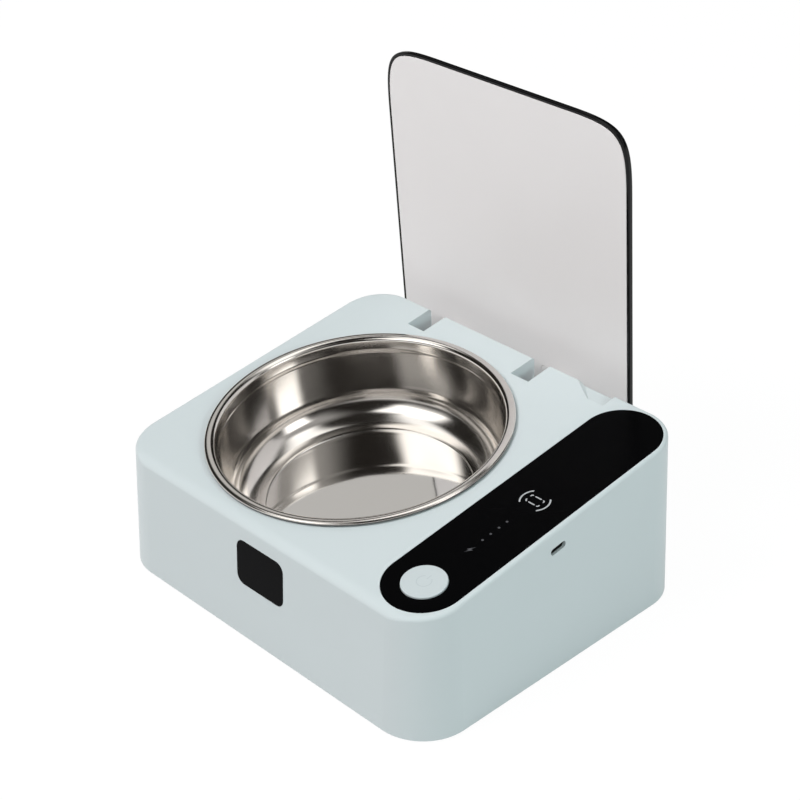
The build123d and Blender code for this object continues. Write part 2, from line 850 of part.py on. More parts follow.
with BuildPart() as board_screws:
    with BuildSketch(deck_plane(panel_x, board_v, board_top - board_thickness - small_head)):
        with GridLocations(post_spacing_x, post_spacing_v, 2, 2):
            Circle(small_head_radius)
    extrude(amount=small_head)
    with BuildSketch(deck_plane(panel_x, board_v, board_top - board_thickness)):
        with GridLocations(post_spacing_x, post_spacing_v, 2, 2):
            Circle(small_screw_radius)
    extrude(amount=board_thickness + small_screw_bite)
    with BuildSketch(window_plane.offset(-sensor_board_depth - board_thickness - small_head)):
        with GridLocations(sensor_post_spacing, 0, 2, 1):
            Circle(small_head_radius)
    extrude(amount=small_head)
    with BuildSketch(window_plane.offset(-sensor_board_depth - board_thickness)):
        with GridLocations(sensor_post_spacing, 0, 2, 1):
            Circle(small_screw_radius)
    extrude(amount=board_thickness + sensor_screw_bite)
board_screws.part.label = "board_screws"
export_step(board_screws.part, "parts/board_screws.step")

with BuildPart() as usb_socket:
    with BuildSketch(usb_plane.offset(-usb_setback - usb_length)):
        SlotOverall(usb_width, usb_height)
    extrude(amount=usb_length)
    with BuildSketch(usb_plane.offset(-usb_setback - usb_length + usb_shell)):
        SlotOverall(usb_width - 2 * usb_shell, usb_height - 2 * usb_shell)
    extrude(amount=usb_length, mode=Mode.SUBTRACT)
usb_socket.part.label = "usb_socket"
export_step(usb_socket.part, "parts/usb_socket.step")

with BuildPart() as usb_tongue:
    with BuildSketch(usb_plane.offset(-usb_setback - usb_length + usb_shell)):
        Rectangle(usb_tongue_width, usb_tongue_thickness)
    extrude(amount=usb_tongue_length)
usb_tongue.part.label = "usb_tongue"
export_step(usb_tongue.part, "parts/usb_tongue.step")

with BuildPart() as status_leds:
    with BuildSketch(deck_plane(light_x, light_v, board_top)):
        with GridLocations(0, light_pitch, 1, 4):
            Rectangle(led_size, led_size)
        with Locations((0, icon_low_v - light_v), (0, icon_high_v - light_v)):
            Rectangle(led_size, led_size)
    extrude(amount=led_height)
status_leds.part.label = "status_leds"
export_step(status_leds.part, "parts/status_leds.step")

with BuildPart() as light_guide:
    with BuildSketch(deck_plane(light_x, light_guide_v, -panel_thickness - light_plate)):
        Rectangle(light_guide_width, light_guide_length)
    extrude(amount=light_plate)
    with BuildSketch(deck_plane(light_x, light_v, board_top + led_height + flange_gap)):
        with GridLocations(0, light_pitch, 1, 4):
            Circle(light_pipe_radius)
        with Locations((0, icon_low_v - light_v), (0, icon_high_v - light_v)):
            Circle(light_pipe_radius)
    extrude(amount=-board_top - led_height - flange_gap - panel_thickness)
light_guide.part.label = "light_guide"
export_step(light_guide.part, "parts/light_guide.step")

with BuildPart() as board_chips:
    with BuildSketch(deck_plane(panel_x, board_v, board_top - board_thickness - chip_height)):
        with Locations((0, -chip_spacing / 2), (0, chip_spacing / 2)):
            Rectangle(chip_size, chip_size)
    extrude(amount=chip_height)
    with BuildSketch(deck_plane(panel_x, board_v, board_top - board_thickness - capacitor_height)):
        with Locations((-chip_size, chip_spacing / 2), (chip_size, chip_spacing / 2)):
            Circle(capacitor_radius)
    extrude(amount=capacitor_height)
board_chips.part.label = "board_chips"
export_step(board_chips.part, "parts/board_chips.step")

with BuildPart() as buzzer:
    with BuildSketch(deck_plane(panel_x, board_v, board_top - board_thickness - buzzer_height)):
        Circle(buzzer_radius)
    extrude(amount=buzzer_height)
    with BuildSketch(deck_plane(panel_x, board_v, board_top - board_thickness - buzzer_height)):
        Circle(buzzer_hole)
    extrude(amount=buzzer_height / 2, mode=Mode.SUBTRACT)
buzzer.part.label = "buzzer"
export_step(buzzer.part, "parts/buzzer.step")

# Sensor: window, board and the emitter and receiver behind it
with BuildPart() as sensor_window:
    with BuildSketch(window_plane.offset(-lens_thickness)):
        RectangleRounded(sensor_width, sensor_height, sensor_radius)
    extrude(amount=lens_thickness)
sensor_window.part.label = "sensor_window"
export_step(sensor_window.part, "parts/sensor_window.step")

with BuildPart() as sensor_board:
    with BuildSketch(window_plane.offset(-sensor_board_depth - board_thickness)):
        Rectangle(sensor_board_width, sensor_board_height)
        with GridLocations(sensor_post_spacing, 0, 2, 1):
            Circle(small_screw_radius + fit_gap, mode=Mode.SUBTRACT)
    extrude(amount=board_thickness)
sensor_board.part.label = "sensor_board"
export_step(sensor_board.part, "parts/sensor_board.step")

with BuildPart() as sensor_emitters:
    with BuildSketch(window_plane.offset(-sensor_board_depth)):
        with GridLocations(emitter_spacing, 0, 2, 1):
            Circle(emitter_radius)
    extrude(amount=emitter_length)
    window_axis = Axis(window_plane.origin, window_plane.z_dir)
    emitter_tops = sensor_emitters.faces().filter_by(window_axis).group_by(window_axis)[-1]
    fillet(emitter_tops.edges(), emitter_dome)
sensor_emitters.part.label = "sensor_emitters"
export_step(sensor_emitters.part, "parts/sensor_emitters.step")

# Battery on the base cover
with BuildPart() as battery_holder:
    with BuildSketch(Plane.XY.offset(sole_height + base_thickness)):
        with Locations((battery_x, battery_y)):
            Rectangle(holder_width, holder_length)
    extrude(amount=holder_height)
    with BuildSketch(Plane.XY.offset(sole_height + base_thickness + holder_wall)):
        with Locations((battery_x, battery_y)):
            Rectangle(holder_width - 2 * holder_wall, holder_length - 2 * holder_wall)
    extrude(amount=holder_height, mode=Mode.SUBTRACT)
battery_holder.part.label = "battery_holder"
export_step(battery_holder.part, "parts/battery_holder.step")

cell_z = sole_height + base_thickness + holder_wall + cell_radius
with BuildPart() as battery_cells:
    with BuildSketch(Plane(origin=(battery_x, battery_y, cell_z), x_dir=(1, 0, 0), z_dir=(0, 1, 0))):
        with GridLocations(cell_pitch, 0, 2, 1):
            Circle(cell_radius)
    extrude(amount=cell_length / 2, both=True)
battery_cells.part.label = "battery_cells"
export_step(battery_cells.part, "parts/battery_cells.step")


def tooth_angles(teeth, radius):
    """Half the angle of a tooth at this radius, for an involute flank."""
    pitch_radius = gear_module * teeth / 2
    base_radius = pitch_radius * cos(radians(pressure_angle))
    roll = sqrt(max((radius / base_radius) ** 2 - 1, 0))
    pitch_roll = tan(radians(pressure_angle))
    half = pi / (2 * teeth) - tooth_backlash / (2 * pitch_radius)
    return half + (pitch_roll - radians(pressure_angle)) - (roll - atan2(roll, 1))


def tooth_outline(teeth, centre):
    """Points up one flank of a tooth, over its tip and down the other."""
    pitch_radius = gear_module * teeth / 2
    base_radius = pitch_radius * cos(radians(pressure_angle))
    root_radius = pitch_radius - gear_module * dedendum
    tip_radius = pitch_radius + gear_module * addendum
    start_radius = max(base_radius, root_radius)
    steps = [start_radius + (tip_radius - start_radius) * i / flank_steps for i in range(flank_steps + 1)]
    left = [(root_radius, centre - tooth_angles(teeth, start_radius))]
    left += [(radius, centre - tooth_angles(teeth, radius)) for radius in steps]
    right = [(radius, 2 * centre - angle) for radius, angle in reversed(left)]
    return [(radius * cos(angle), radius * sin(angle)) for radius, angle in left + right]


# Lid gear: a toothed sector with a hub, meshing with the pinion straight in front of it
tooth_pitch = 2 * pi / lid_gear_teeth
lid_gear_root = gear_module * (lid_gear_teeth / 2 - dedendum)
sector_angles = [pi + tooth_pitch * k for k in range(-teeth_above, teeth_below + 1)]
with BuildPart() as lid_gear:
    with BuildSketch(across_hinge(gear_x - gear_width / 2)):
        Circle(gear_hub_radius)
    extrude(amount=gear_width + gear_hub_extra)
    with BuildSketch(across_hinge(gear_x - gear_width / 2)):
        with BuildLine():
            rim_points = [point for angle in sector_angles for point in tooth_outline(lid_gear_teeth, angle)]
            first = sector_angles[0] - tooth_pitch / 2
            last = sector_angles[-1] + tooth_pitch / 2
            start = (lid_gear_root * cos(first), lid_gear_root * sin(first))
            end = (lid_gear_root * cos(last), lid_gear_root * sin(last))
            Polyline((0, 0), start, *rim_points, end, close=True)
        make_face()
    extrude(amount=gear_width)
    with BuildSketch(across_hinge(gear_x)):
        Circle(shaft_radius + shaft_gap)
        with Locations((0, shaft_flat + shaft_gap + shaft_radius)):
            Rectangle(4 * shaft_radius, 2 * shaft_radius, mode=Mode.SUBTRACT)
    extrude(amount=2 * gear_width, both=True, mode=Mode.SUBTRACT)
lid_gear.part.label = "lid_gear"
export_step(lid_gear.part, "parts/lid_gear.step")

# Pinion on the gearbox's output shaft
pinion_plane = Plane(origin=(0, pinion_y, hinge_z), x_dir=(0, 1, 0), z_dir=(1, 0, 0))
pinion_angles = [2 * pi * (k + 1 / 2) / pinion_teeth for k in range(pinion_teeth)]
with BuildPart() as drive_pinion:
    with BuildSketch(pinion_plane.offset(gear_x - pinion_width / 2)):
        with BuildLine():
            teeth_points = [tooth_outline(pinion_teeth, angle) for angle in pinion_angles]
            Polyline(*[point for tooth in teeth_points for point in tooth], close=True)
        make_face()
    extrude(amount=pinion_width)
    with BuildSketch(pinion_plane.offset(gearbox_x + output_depth)):
        Circle(output_radius)
    extrude(amount=-(output_depth + gearbox_gap + pinion_width / 2))
drive_pinion.part.label = "drive_pinion"
export_step(drive_pinion.part, "parts/drive_pinion.step")

# Gearbox with its output bearing, its ears and end cover
with BuildPart() as gearbox_case:
    with BuildSketch(deck_plane(gearbox_x + gearbox_length / 2, drive_v, gearbox_top)):
        Rectangle(gearbox_length, gearbox_depth)
    extrude(amount=-(gearbox_rise + gearbox_drop))
    with BuildSketch(deck_plane(gearbox_ear_x, drive_v, gearbox_top)):
        SlotCenterToCenter(2 * gearbox_ear_reach, 2 * boss_radius, rotation=90)
    extrude(amount=-ear_thickness)
    with BuildSketch(deck_plane(gearbox_ear_x, drive_v, gearbox_top)):
        with GridLocations(0, 2 * gearbox_ear_reach, 1, 2):
            Circle(screw_radius + fit_gap)
    extrude(amount=-ear_thickness, mode=Mode.SUBTRACT)
    with BuildSketch(pinion_plane.offset(gearbox_x)):
        Circle(output_radius + shaft_gap)
    extrude(amount=output_depth + fit_gap, mode=Mode.SUBTRACT)
gearbox_case.part.label = "gearbox_case"
export_step(gearbox_case.part, "parts/gearbox_case.step")

gearbox_end = gearbox_x + gearbox_length
gearbox_height = gearbox_rise + gearbox_drop
gearbox_middle = gearbox_top - gearbox_height / 2
motor_place = deck_plane(0, drive_v, drive_h - motor_offset).origin
cover_place = deck_plane(0, drive_v, gearbox_middle).origin
along_deck = (0, cos(tilt), sin(tilt))
motor_origin = (gearbox_end, motor_place.Y, motor_place.Z)
cover_origin = (gearbox_end, cover_place.Y, cover_place.Z)
motor_plane = Plane(origin=motor_origin, x_dir=along_deck, z_dir=(1, 0, 0))
gearbox_cover_plane = Plane(origin=cover_origin, x_dir=along_deck, z_dir=(1, 0, 0))
with BuildPart() as gearbox_cover:
    with BuildSketch(gearbox_cover_plane):
        RectangleRounded(gearbox_depth, gearbox_height, gearbox_cover_radius)
    extrude(amount=gearbox_cover_thickness)
    with BuildSketch(motor_plane):
        Circle(motor_boss_radius + fit_gap)
    extrude(amount=gearbox_cover_thickness, mode=Mode.SUBTRACT)
gearbox_cover.part.label = "gearbox_cover"
export_step(gearbox_cover.part, "parts/gearbox_cover.step")

with BuildPart() as gearbox_screws:
    with BuildSketch(deck_plane(gearbox_ear_x, drive_v, gearbox_top - ear_thickness - screw_head)):
        with GridLocations(0, 2 * gearbox_ear_reach, 1, 2):
            Circle(screw_head_radius)
    extrude(amount=screw_head)
    with BuildSketch(deck_plane(gearbox_ear_x, drive_v, gearbox_top - ear_thickness)):
        with GridLocations(0, 2 * gearbox_ear_reach, 1, 2):
            Circle(screw_radius)
    extrude(amount=ear_thickness + ear_screw_bite)
    with BuildSketch(deck_plane(gearbox_ear_x, drive_v, gearbox_top - ear_thickness - screw_head)):
        with GridLocations(0, 2 * gearbox_ear_reach, 1, 2):
            RegularPolygon(screw_socket, 6)
    extrude(amount=screw_head / 2, mode=Mode.SUBTRACT)
gearbox_screws.part.label = "gearbox_screws"
export_step(gearbox_screws.part, "parts/gearbox_screws.step")

with BuildPart() as motor:
    with BuildSketch(motor_plane):
        Circle(motor_boss_radius)
    extrude(amount=gearbox_cover_thickness)
    with BuildSketch(motor_plane.offset(gearbox_cover_thickness)):
        Circle(motor_radius)
        with Locations((0, motor_radius), (0, -motor_radius)):
            Rectangle(2 * motor_radius, 2 * motor_flat, mode=Mode.SUBTRACT)
    extrude(amount=motor_length)
    with BuildSketch(motor_plane.offset(gearbox_cover_thickness + motor_length)):
        Circle(motor_boss_radius)
        with GridLocations(2 * motor_boss_radius + tab_width, 0, 2, 1):
            Rectangle(tab_width / 2, tab_width)
    extrude(amount=motor_cap)
motor.part.label = "motor"
export_step(motor.part, "parts/motor.step")

# Bushes in the pocket walls and the hanger
with BuildPart() as hinge_bushes:
    for x in arm_places:
        for side in (-1, 1):
            wall_x = x + side * (notch_width / 2)
            with BuildSketch(across_hinge(wall_x)):
                Circle(bush_radius)
            extrude(amount=side * pocket_wall)
            with BuildSketch(across_hinge(wall_x + side * pocket_wall)):
                Circle(bush_flange_radius)
            extrude(amount=side * bush_flange)
    with BuildSketch(across_hinge(hanger_x - hanger_thickness / 2 - bush_flange)):
        Circle(bush_flange_radius)
    extrude(amount=bush_flange)
    with BuildSketch(across_hinge(hanger_x - hanger_thickness / 2)):
        Circle(bush_radius)
    extrude(amount=hanger_thickness)
    with BuildSketch(across_hinge(0)):
        Circle(shaft_radius + shaft_gap)
    extrude(amount=far, both=True, mode=Mode.SUBTRACT)
hinge_bushes.part.label = "hinge_bushes"
export_step(hinge_bushes.part, "parts/hinge_bushes.step")

# Left hinge pin and the driven shaft, with a flat for the right arm and the gear
pin_reach = pocket_width / 2 + bush_flange + clip_gap + clip_thickness + pin_end
with BuildPart() as hinge_pin:
    with BuildSketch(across_hinge(arm_places[0])):
        Circle(shaft_radius)
    extrude(amount=pin_reach, both=True)
    for side in (-1, 1):
        with BuildSketch(across_hinge(arm_places[0] + side * (pin_reach - pin_end))):
            Circle(shaft_radius)
            Circle(clip_seat_radius, mode=Mode.SUBTRACT)
        extrude(amount=-side * clip_thickness, mode=Mode.SUBTRACT)
hinge_pin.part.label = "hinge_pin"
export_step(hinge_pin.part, "parts/hinge_pin.step")

shaft_start = arm_places[1] - pin_reach
shaft_end = hanger_x + hanger_thickness / 2 + clip_gap + clip_thickness + pin_end
with BuildPart() as drive_shaft:
    with BuildSketch(across_hinge(shaft_start)):
        Circle(shaft_radius)
    extrude(amount=shaft_end - shaft_start)
    with BuildSketch(across_hinge(arm_places[1] - arm_width / 2)):
        with Locations((0, shaft_flat + shaft_radius)):
            Rectangle(4 * shaft_radius, 2 * shaft_radius)
    extrude(amount=arm_width, mode=Mode.SUBTRACT)
    with BuildSketch(across_hinge(gear_x - gear_width / 2)):
        with Locations((0, shaft_flat + shaft_radius)):
            Rectangle(4 * shaft_radius, 2 * shaft_radius)
    extrude(amount=gear_width + gear_hub_extra, mode=Mode.SUBTRACT)
    for groove_x in (shaft_start + pin_end, shaft_end - pin_end - clip_thickness):
        with BuildSketch(across_hinge(groove_x)):
            Circle(shaft_radius)
            Circle(clip_seat_radius, mode=Mode.SUBTRACT)
        extrude(amount=clip_thickness, mode=Mode.SUBTRACT)
drive_shaft.part.label = "drive_shaft"
export_step(drive_shaft.part, "parts/drive_shaft.step")

clip_places = (
    arm_places[0] - pin_reach + pin_end,
    arm_places[0] + pin_reach - pin_end - clip_thickness,
    shaft_start + pin_end,
    shaft_end - pin_end - clip_thickness,
)
with BuildPart() as shaft_clips:
    for clip_x in clip_places:
        with BuildSketch(across_hinge(clip_x)):
            Circle(clip_radius)
            Circle(clip_seat_radius + screw_gap / 2, mode=Mode.SUBTRACT)
            with Locations((0, clip_radius)):
                Rectangle(2 * clip_seat_radius - clip_opening, 2 * clip_radius, mode=Mode.SUBTRACT)
        extrude(amount=clip_thickness)
shaft_clips.part.label = "shaft_clips"
export_step(shaft_clips.part, "parts/shaft_clips.step")

# Lid: its outline has softer corners at the free end
lid_half = rim_radius + lid_side
hinge_v = deck.to_local_coords(Vector(0, hinge_y, hinge_z)).Y
lid_reach = hinge_v - bowl_v + rim_radius
lid_low = -lid_tail


def lid_outline(inset):
    half = lid_half - inset
    top = lid_reach - inset
    low = lid_low + inset
    corner = lid_corner - inset
    near = corner * (1 - lid_corner_pull)
    with BuildSketch() as outline:
        with BuildLine():
            Polyline((-half, top - corner), (-half, low), (half, low), (half, top - corner))
            Bezier((half, top - corner), (half, top - near), (half - near, top), (half - corner, top))
            Line((half - corner, top), (corner - half, top))
            Bezier((corner - half, top), (near - half, top), (-half, top - near), (-half, top - corner))
        make_face()
        tail = outline.vertices().group_by(Axis.Y)[0]
        fillet(tail, lid_tail_radius - inset)
    return outline.sketch


liner_back = lid_distance + liner_thickness
lid_back = lid_distance + lid_thickness
with BuildPart() as lid_plate:
    with BuildSketch(lid_plane(bowl_x, 0, lid_back)):
        add(lid_outline(0))
    extrude(amount=lid_thickness)
    lid_faces = lid_plate.faces().filter_by(lid_plane(0, 0, 0))
    fillet(lid_faces.edges(), lid_edge)
    with BuildSketch(lid_plane(bowl_x, 0, lid_back)):
        add(lid_outline(lid_panel_inset))
    with BuildSketch(lid_plane(bowl_x, 0, lid_back + lid_panel_height)):
        add(lid_outline(lid_panel_inset + lid_panel_slope))
    loft(ruled=True)
    with BuildSketch(lid_plane(bowl_x, 0, liner_back)):
        add(lid_outline(lid_rim))
    extrude(amount=lid_thickness, mode=Mode.SUBTRACT)
    for x in arm_places:
        with BuildSketch(lid_plane(x, 0, liner_back)):
            with GridLocations(arm_screw_spacing, 0, 2, 1):
                Circle(arm_screw_radius + screw_gap)
        extrude(amount=liner_thickness - arm_screw_length - screw_gap, mode=Mode.SUBTRACT)
lid_plate.part.label = "lid_plate"
export_step(lid_plate.part, "parts/lid_plate.step")

with BuildPart() as lid_liner:
    with BuildSketch(lid_plane(bowl_x, 0, liner_back)):
        add(lid_outline(lid_rim + liner_gap))
    extrude(amount=liner_thickness)
    liner_front = lid_liner.faces().sort_by(Axis((0, 0, 0), (0, -cos(lean), -sin(lean))))[-1]
    fillet(liner_front.edges(), liner_edge)
    for x in arm_places:
        with BuildSketch(lid_plane(x, 0, liner_back)):
            RectangleRounded(
                arm_foot_width + 2 * arm_foot_gap, arm_foot_length + 2 * arm_foot_gap, arm_foot_radius
            )
        extrude(amount=2 * liner_thickness, mode=Mode.SUBTRACT)
lid_liner.part.label = "lid_liner"
export_step(lid_liner.part, "parts/lid_liner.step")

# Arms: a hub on the hinge axis, a bar to the lid and a foot let into the liner
with BuildPart() as lid_arms:
    for x in arm_places:
        with BuildSketch(across_hinge(x)):
            Circle(hub_radius)
        extrude(amount=arm_width / 2, both=True)
        with BuildSketch(lid_plane(x, (arm_head - arm_tail) / 2, 0)):
            Rectangle(arm_width, arm_head + arm_tail)
        extrude(amount=-liner_back)
        with BuildSketch(lid_plane(x, 0, lid_distance)):
            RectangleRounded(arm_foot_width, arm_foot_length, arm_foot_radius - arm_foot_gap)
        extrude(amount=-liner_thickness)
        with BuildSketch(lid_plane(x, 0, lid_distance)):
            with GridLocations(arm_screw_spacing, 0, 2, 1):
                Circle(arm_screw_radius + fit_gap)
        extrude(amount=-liner_thickness, mode=Mode.SUBTRACT)
        with BuildSketch(lid_plane(x, 0, lid_distance)):
            with GridLocations(arm_screw_spacing, 0, 2, 1):
                Circle(arm_head_radius + fit_gap / 2)
        extrude(amount=-arm_head_depth, taper=arm_head_taper, mode=Mode.SUBTRACT)
    with BuildSketch(across_hinge(arm_places[0] - arm_width)):
        Circle(shaft_radius + shaft_gap)
    extrude(amount=2 * arm_width, mode=Mode.SUBTRACT)
    with BuildSketch(across_hinge(arm_places[1] - arm_width)):
        Circle(shaft_radius + shaft_gap)
        with Locations((0, shaft_flat + shaft_gap + shaft_radius)):
            Rectangle(4 * shaft_radius, 2 * shaft_radius, mode=Mode.SUBTRACT)
    extrude(amount=2 * arm_width, mode=Mode.SUBTRACT)
lid_arms.part.label = "lid_arms"
export_step(lid_arms.part, "parts/lid_arms.step")

with BuildPart() as arm_screws:
    for x in arm_places:
        with BuildSketch(lid_plane(x, 0, lid_distance)):
            with GridLocations(arm_screw_spacing, 0, 2, 1):
                Circle(arm_head_radius)
        extrude(amount=-arm_head_depth, taper=arm_head_taper)
        with BuildSketch(lid_plane(x, 0, lid_distance)):
            with GridLocations(arm_screw_spacing, 0, 2, 1):
                Circle(arm_screw_radius)
        extrude(amount=-arm_screw_length)
arm_screws.part.label = "arm_screws"
export_step(arm_screws.part, "parts/arm_screws.step")
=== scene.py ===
# Looks for the motion sensor pet bowl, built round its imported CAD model. Metres, in the CAD frame.
import json
import math

import bmesh
import bpy
from mathutils import Matrix, Vector


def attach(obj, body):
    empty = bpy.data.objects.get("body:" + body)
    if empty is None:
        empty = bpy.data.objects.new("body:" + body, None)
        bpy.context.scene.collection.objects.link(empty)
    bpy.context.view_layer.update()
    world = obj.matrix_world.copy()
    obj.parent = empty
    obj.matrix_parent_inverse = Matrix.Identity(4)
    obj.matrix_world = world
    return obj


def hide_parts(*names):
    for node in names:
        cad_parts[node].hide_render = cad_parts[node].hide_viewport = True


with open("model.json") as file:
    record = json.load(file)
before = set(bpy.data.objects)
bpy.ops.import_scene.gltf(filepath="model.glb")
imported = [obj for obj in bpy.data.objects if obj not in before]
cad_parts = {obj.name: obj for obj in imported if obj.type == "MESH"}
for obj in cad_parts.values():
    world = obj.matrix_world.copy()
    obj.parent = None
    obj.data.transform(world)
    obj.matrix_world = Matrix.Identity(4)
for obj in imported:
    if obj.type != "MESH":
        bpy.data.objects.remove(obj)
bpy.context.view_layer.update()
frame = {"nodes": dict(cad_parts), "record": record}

MM = 0.001

# Camera, solved from the photograph
CAMERA_PLACE = (0.5820, -0.5560, 0.5809)
CAMERA_AZIMUTH = 46.203
CAMERA_ELEVATION = 30.683
CAMERA_ROLL = -0.553
CAMERA_LENS = 84.508
SENSOR_WIDTH = 36.0
CLIP_END = 20

# The deck and what lies on it
DECK_TILT = math.radians(8.0)
SOLE_HEIGHT = 1.5 * MM
FRONT_HEIGHT = 67.0 * MM
HALF_DEPTH = 96.0 * MM
DECK_ORIGIN_Z = SOLE_HEIGHT + FRONT_HEIGHT + HALF_DEPTH * math.tan(DECK_TILT)
BOWL_X = -22.0 * MM
BOWL_V = -5.5 * MM
PANEL_X = 88.25 * MM
BUTTON_V = -69.0 * MM
ICON_X = 88.9 * MM

deck_up = Vector((0, -math.sin(DECK_TILT), math.cos(DECK_TILT)))
deck_back = Vector((0, math.cos(DECK_TILT), math.sin(DECK_TILT)))
deck_origin = Vector((0, 0, DECK_ORIGIN_Z))


def on_deck(x, v, h=0.0):
    """A point at x, v up the slope of the deck, and h above it."""
    return deck_origin + Vector((x, 0, 0)) + deck_back * v + deck_up * h


# Materials: the scales and depths of their noises, the spread of their roughness round its
# stated value, and what all plastics share
DRIFT_SCALE = 14.0
STREAK_SCALE = 60.0
WAVE_SCALE = 55.0
GRAIN_DEPTH = 0.05 * MM
STREAK_DEPTH = 0.02 * MM
PLASTIC_SPREAD = (0.9, 1.1)
METAL_SPREAD = (0.8, 1.3)
PLASTIC_IOR = 1.46
COAT_ROUGHNESS = 0.03


def new_material(name):
    """A material with one Principled shader, and its nodes, links and shader."""
    material = bpy.data.materials.new(name)
    material.use_nodes = True
    nodes = material.node_tree.nodes
    nodes.clear()
    output = nodes.new("ShaderNodeOutputMaterial")
    shader = nodes.new("ShaderNodeBsdfPrincipled")
    material.node_tree.links.new(shader.outputs["BSDF"], output.inputs["Surface"])
    return material, nodes, material.node_tree.links, shader


def noise(nodes, links, place, scale, detail):
    """A noise at a place; gives its factor."""
    node = nodes.new("ShaderNodeTexNoise")
    node.inputs["Scale"].default_value = scale
    node.inputs["Detail"].default_value = detail
    links.new(place, node.inputs["Vector"])
    return node.outputs["Fac"]


def vary(nodes, links, shader, factor, color, spread, roughness):
    """Lets a factor shift the colour by its spread, and the roughness between two values."""
    tone = nodes.new("ShaderNodeMix")
    tone.data_type = "RGBA"
    tone.inputs["A"].default_value = (*[c * (1 - spread) for c in color], 1)
    tone.inputs["B"].default_value = (*[min(1, c * (1 + spread)) for c in color], 1)
    links.new(factor, tone.inputs["Factor"])
    links.new(tone.outputs["Result"], shader.inputs["Base Color"])
    rough = nodes.new("ShaderNodeMapRange")
    rough.inputs["To Min"].default_value, rough.inputs["To Max"].default_value = roughness
    links.new(factor, rough.inputs["Value"])
    links.new(rough.outputs["Result"], shader.inputs["Roughness"])


def bump(nodes, links, shader, height, strength, distance):
    """Bends the shader's normal by a height."""
    node = nodes.new("ShaderNodeBump")
    node.inputs["Strength"].default_value = strength
    node.inputs["Distance"].default_value = distance
    links.new(height, node.inputs["Height"])
    links.new(node.outputs["Normal"], shader.inputs["Normal"])


def plastic(name, color, roughness, grain=0.0, grain_size=0.5, coat=0.0, spread=0.02, gloss=0.5):
    """Moulded plastic: a slight colour drift, a roughness drift and a fine grain."""
    material, nodes, links, shader = new_material(name)
    place = nodes.new("ShaderNodeTexCoord").outputs["Object"]
    drift = noise(nodes, links, place, DRIFT_SCALE, detail=3.0)
    rough = [roughness * share for share in PLASTIC_SPREAD]
    vary(nodes, links, shader, drift, color, spread, rough)
    shader.inputs["IOR"].default_value = PLASTIC_IOR
    shader.inputs["Specular IOR Level"].default_value = gloss
    if coat:
        shader.inputs["Coat Weight"].default_value = coat
        shader.inputs["Coat Roughness"].default_value = COAT_ROUGHNESS
    if grain:
        fine = noise(nodes, links, place, 1.0 / (grain_size * MM), detail=2.0)
        bump(nodes, links, shader, fine, grain, GRAIN_DEPTH)
    return material


def metal(name, color, roughness, streak=0.0, streak_scale=(1, 1, 1), spread=0.03, wave=0.0):
    """Metal with a fine streak, or with the slow waves of pressed sheet, in millimetres."""
    material, nodes, links, shader = new_material(name)
    place = nodes.new("ShaderNodeTexCoord").outputs["Object"]
    stretch = nodes.new("ShaderNodeMapping")
    stretch.inputs["Scale"].default_value = streak_scale
    links.new(place, stretch.inputs["Vector"])
    streaks = noise(nodes, links, stretch.outputs["Vector"], STREAK_SCALE, detail=4.0)
    rough = [roughness * share for share in METAL_SPREAD]
    vary(nodes, links, shader, streaks, color, spread, rough)
    shader.inputs["Metallic"].default_value = 1.0
    if streak:
        bump(nodes, links, shader, streaks, streak, STREAK_DEPTH)
    if wave:
        slow = noise(nodes, links, place, WAVE_SCALE, detail=1.0)
        bump(nodes, links, shader, slow, strength=1.0, distance=wave * MM)
    return material


casing = plastic("casing", (0.62, 0.675, 0.685), 0.42, grain=0.12, grain_size=0.6)
inner = plastic("inner", (0.48, 0.55, 0.57), 0.55, grain=0.2)
black = plastic("panel_black", (0.0012, 0.0012, 0.0015), 0.24, spread=0.1, gloss=0.02)
shell = plastic("lid_black", (0.003, 0.003, 0.0035), 0.08, spread=0.1, gloss=0.25)
window = plastic("window_black", (0.0022, 0.0022, 0.0026), 0.20, spread=0.1, gloss=0.03)
liner = plastic("liner", (0.882, 0.846, 0.841), 0.34, grain=0.05, grain_size=0.9)
button = plastic("button", (0.585, 0.635, 0.645), 0.38, grain=0.1)
grey = plastic("grey_plastic", (0.35, 0.38, 0.39), 0.55, grain=0.2)
board = plastic("board_green", (0.015, 0.10, 0.035), 0.35, spread=0.15)
component = plastic("component_black", (0.02, 0.02, 0.022), 0.5, grain=0.2)
clear = plastic("clear_plastic", (0.75, 0.78, 0.80), 0.15, coat=0.3)
acetal = plastic("white_acetal", (0.80, 0.80, 0.77), 0.4, grain=0.1)
rubber = plastic("foot_rubber", (0.035, 0.035, 0.037), 0.8, grain=0.4, grain_size=0.4)
sleeve = plastic("cell_sleeve", (0.03, 0.10, 0.25), 0.25, coat=0.2)
print_white = plastic("printed_marks", (0.46, 0.47, 0.48), 0.5)
print_dim = plastic("printed_dim", (0.072, 0.072, 0.080), 0.5)
print_grey = plastic("printed_grey", (0.52, 0.57, 0.585), 0.5)
steel = metal("steel_parts", (0.55, 0.55, 0.56), 0.28, streak=0.2)
can = metal("motor_steel", (0.45, 0.46, 0.48), 0.32, streak=0.3, streak_scale=(1, 6, 6))
mirror = metal("polished_steel", (0.80, 0.785, 0.765), 0.05, spread=0.01, wave=0.02)
drawn = metal("drawn_steel", (0.79, 0.765, 0.735), 0.13, spread=0.01, wave=0.03)
# Painted shade: a dark steel standing in for the shadow under the dish's rim and the shade inside
# the charging socket
painted_shade_steel = metal("painted_shade_steel", (0.16, 0.155, 0.15), 0.30)

